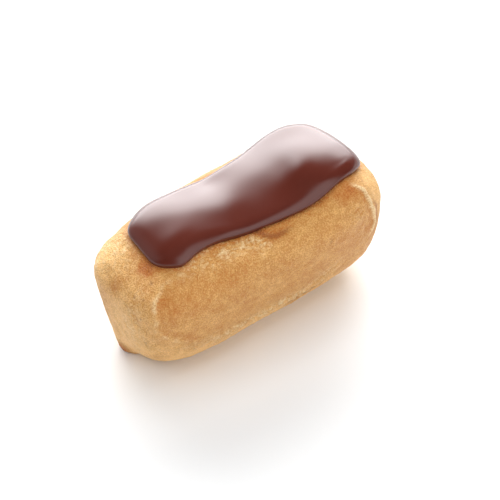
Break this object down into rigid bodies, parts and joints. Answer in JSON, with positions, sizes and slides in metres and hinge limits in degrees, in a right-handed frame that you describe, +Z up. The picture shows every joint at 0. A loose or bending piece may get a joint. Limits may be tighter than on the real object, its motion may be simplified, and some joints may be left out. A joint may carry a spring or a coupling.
{
  "type": "mini eclair",
  "caption": "Small baked choux pastry bar with a flat base, rounded sides and a glossy poured cap of milk chocolate icing over its top.",
  "frame": {"origin": "middle of the outline in plan, on the surface that the flat base rests on", "axes": "+X along the eclair from its near end to the end with the higher crown, +Y across it to the back, +Z up"},
  "size_m": [0.0644, 0.0334, 0.035],
  "materials": {
    "choux_crust": "golden baked choux crust, dry and finely grained, paler at the torn ends and along the low rim",
    "milk_chocolate_icing": "set milk chocolate icing, smooth and glossy with soft broad highlights"
  },
  "bodies": {
    "root": {"choux_crust": "choux_crust", "milk_chocolate_icing": "milk_chocolate_icing"}
  },
  "joints": []
}
